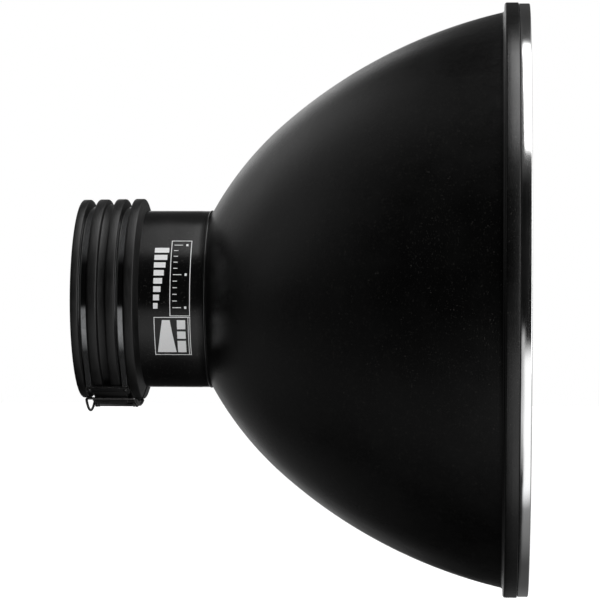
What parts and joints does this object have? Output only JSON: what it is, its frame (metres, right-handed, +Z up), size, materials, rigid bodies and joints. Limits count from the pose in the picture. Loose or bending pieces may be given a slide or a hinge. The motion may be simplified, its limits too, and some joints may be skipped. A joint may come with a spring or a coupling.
{
  "type": "studio flash reflector",
  "caption": "Deep round light reflector: black bowl, bright dimpled inside, stepped rim, tubular neck, and a split rubber collar clamped by an over-centre latch.",
  "frame": {"origin": "on the reflector's axis at the collar's rear face, where the flash head enters", "axes": "+X along the reflector's axis towards the bowl's mouth, +Z up, latch at -Z, its catch on the -Y side and its lever on the +Y side"},
  "size_m": [0.2583, 0.342, 0.342],
  "materials": {
    "collar_rubber": "satin moulded rubber",
    "neck_black": "satin black coating over aluminium, with pale printed marks",
    "shell_black": "fine-textured satin black powder coat over spun aluminium",
    "bright_aluminium": "bright anodised, dimpled inside",
    "band_steel": "rolled stainless strip",
    "latch_black": "black coated steel, worn at its edges",
    "rivet_steel": "plain steel",
    "bail_wire": "drawn spring wire"
  },
  "bodies": {
    "reflector": {"collar_sleeve": "collar_rubber", "neck_tube": "neck_black", "bowl_shell": "shell_black", "inner_reflector": "bright_aluminium", "throat_ring": "bright_aluminium", "rear_band": "band_steel", "front_band": "band_steel", "latch_base": "latch_black", "catch_plate": "latch_black", "base_rivets": "latch_black", "catch_rivets": "latch_black", "lever_pin": "rivet_steel"},
    "lever": {"latch_lever": "latch_black"},
    "bail": {"latch_bail": "bail_wire"}
  },
  "joints": [
    {"name": "lever_open", "type": "hinge", "parent": "reflector", "child": "lever", "pos_m": [0.0192, 0.001, -0.06149], "axis": [-1, 0, 0], "range_deg": [0, 120]},
    {"name": "bail_swing", "type": "hinge", "parent": "lever", "child": "bail", "pos_m": [0.0185, 0.01644, -0.05926], "axis": [-1, 0, 0], "range_deg": [-180, 0]}
  ],
  "couplings": [
    {"joint": "bail_swing", "follows": "lever_open", "ratio": -1.5}
  ]
}
